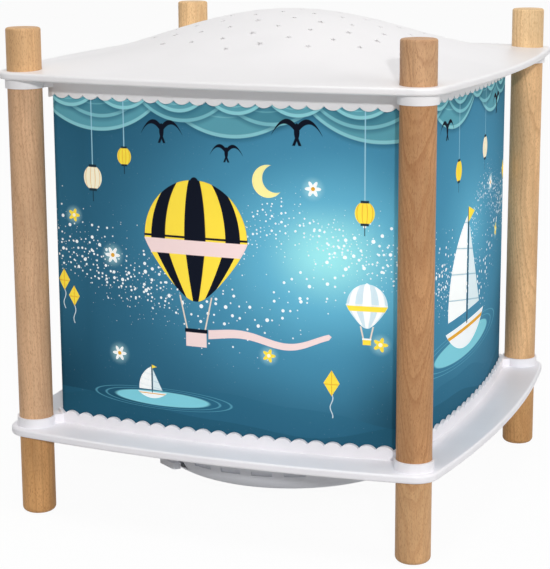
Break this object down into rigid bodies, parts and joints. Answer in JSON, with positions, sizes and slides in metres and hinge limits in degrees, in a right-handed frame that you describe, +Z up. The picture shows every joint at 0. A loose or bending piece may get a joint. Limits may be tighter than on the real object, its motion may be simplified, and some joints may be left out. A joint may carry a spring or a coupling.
{
  "type": "rotating motion lamp",
  "caption": "Square lantern on beech posts with a domed plastic top, a printed screen and a motor-driven picture drum that turns round a lit column.",
  "frame": {"origin": "on the floor under the middle of the lamp", "axes": "+Z up; -Y towards the front with the switch at its left; +X to the right"},
  "size_m": [0.1844, 0.1844, 0.1924],
  "materials": {
    "beech": "fine straight-grained beech, satin lacquer",
    "white_plastic": "smooth moulded plastic, soft sheen",
    "housing_plastic": "fine-textured moulded plastic",
    "printed_screen": "translucent printed sheet",
    "printed_film": "translucent printed film",
    "drum_plastic": "moulded plastic",
    "gear_plastic": "natural acetal",
    "grey_plastic": "fine-textured moulded plastic",
    "dark_plastic": "moulded plastic",
    "frosted": "frosted light diffuser",
    "bush_brass": "turned",
    "steel": "machined",
    "zinc_steel": "bright plated",
    "board_green": "circuit board laminate",
    "board_white": "white metal-core board",
    "led_yellow": "phosphor",
    "cell_sleeve": "shrink sleeve",
    "spring_metal": "nickel plated",
    "wire_insulation": "insulated wire"
  },
  "bodies": {
    "lantern": {"foot_front_left": "beech", "column_front_left": "beech", "knob_front_left": "beech", "foot_front_right": "beech", "column_front_right": "beech", "knob_front_right": "beech", "foot_rear_right": "beech", "column_rear_right": "beech", "knob_rear_right": "beech", "foot_rear_left": "beech", "column_rear_left": "beech", "knob_rear_left": "beech", "lower_studs": "zinc_steel", "upper_studs": "zinc_steel", "base_plate": "white_plastic", "top_plate": "white_plastic", "picture_screen": "printed_screen", "light_column": "drum_plastic", "thrust_washer": "gear_plastic", "lamp_carrier": "drum_plastic", "lamp_board": "board_white", "led_chips": "led_yellow", "light_diffuser": "frosted", "gearbox_case": "dark_plastic", "motor_can": "steel", "drive_housing": "housing_plastic", "circuit_board": "board_green", "board_components": "dark_plastic", "charging_socket": "spring_metal", "battery_cell": "cell_sleeve", "cell_holder": "dark_plastic", "cell_clips": "spring_metal", "switch_case": "dark_plastic", "housing_screws": "zinc_steel", "column_screws": "zinc_steel", "motor_screws": "zinc_steel", "board_screws": "zinc_steel", "holder_screws": "zinc_steel", "lamp_leads": "wire_insulation", "motor_leads": "wire_insulation", "cell_leads": "wire_insulation", "switch_leads": "wire_insulation"},
    "picture_drum": {"turntable": "drum_plastic", "hub_bush": "bush_brass", "drum_gear": "gear_plastic", "picture_cylinder": "printed_film", "drum_hoop": "drum_plastic"},
    "motor_pinion": {"motor_shaft": "steel", "motor_pinion": "gear_plastic"},
    "switch_slider": {"switch_lever": "grey_plastic"}
  },
  "joints": [
    {"name": "drum_spin", "type": "hinge", "parent": "lantern", "child": "picture_drum", "pos_m": [0, 0, 0.0467], "axis": [0, 0, 1], "continuous": true},
    {"name": "pinion_spin", "type": "hinge", "parent": "lantern", "child": "motor_pinion", "pos_m": [-0.0375, 0, 0.0422], "axis": [0, 0, 1], "continuous": true},
    {"name": "switch_slide", "type": "slide", "parent": "lantern", "child": "switch_slider", "axis": [0.829, -0.5592, 0], "range_m": [0, 0.004]}
  ],
  "couplings": [
    {"joint": "pinion_spin", "follows": "drum_spin", "ratio": -4}
  ]
}
